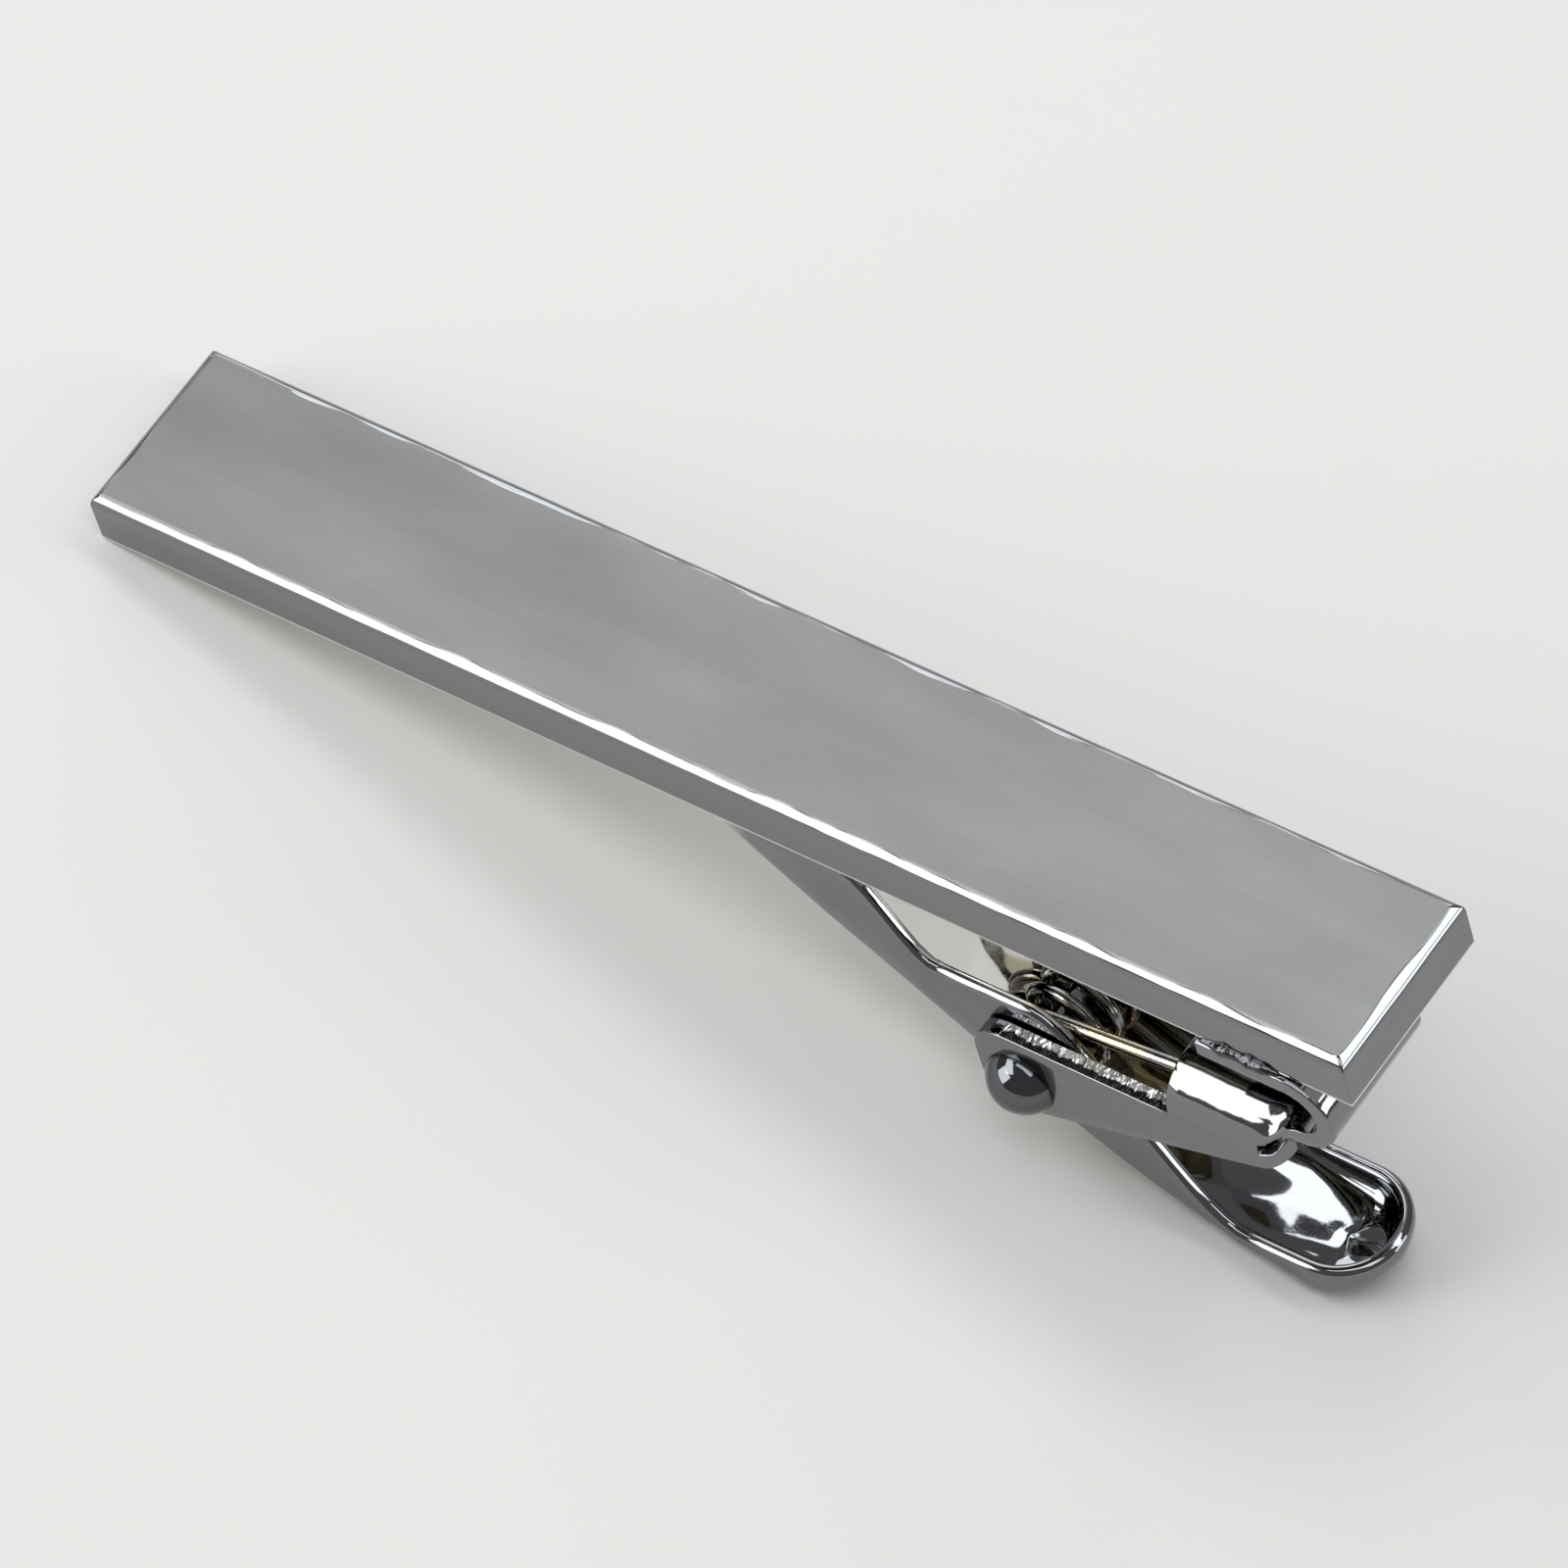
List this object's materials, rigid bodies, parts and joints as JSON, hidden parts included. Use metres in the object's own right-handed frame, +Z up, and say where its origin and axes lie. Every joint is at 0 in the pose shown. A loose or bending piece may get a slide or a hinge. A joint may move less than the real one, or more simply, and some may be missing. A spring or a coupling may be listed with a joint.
{
  "type": "tie clip",
  "caption": "Tie clip: flat chromed bar with a brushed face and a sprung jaw with a thumb pad, hinged in a folded bracket on its back.",
  "frame": {"origin": "middle of the resting part's box, in the plane of the table it lies on", "axes": "+X from the bar's left end towards the thumb pad, +Y across the bar away from the side the mechanism is shifted to, +Z up from the table"},
  "size_m": [0.0602, 0.0106, 0.0198],
  "materials": {
    "chrome_brushed_face": "mirror chrome with a fine brushed face",
    "solder": "soft solder, plated over",
    "chrome_stamping": "bright plated sheet brass",
    "chrome_rivet": "bright plated",
    "spring_wire": "thinly plated hard-drawn wire",
    "chrome_lever": "bright plated sheet brass"
  },
  "bodies": {
    "bar": {"front_bar": "chrome_brushed_face", "solder_joint": "solder", "hinge_bracket": "chrome_stamping", "hinge_pin": "chrome_rivet", "torsion_spring": "spring_wire"},
    "lever": {"jaw_lever": "chrome_lever"}
  },
  "joints": [
    {"name": "jaw_hinge", "type": "hinge", "parent": "bar", "child": "lever", "pos_m": [0.01454, -0.00039, 0.00473], "axis": [0, -1, 0], "range_deg": [0, 28], "stiffness_Nm_per_rad": 0.05, "springref_deg": -45.84, "deforming": ["torsion_spring"]}
  ]
}
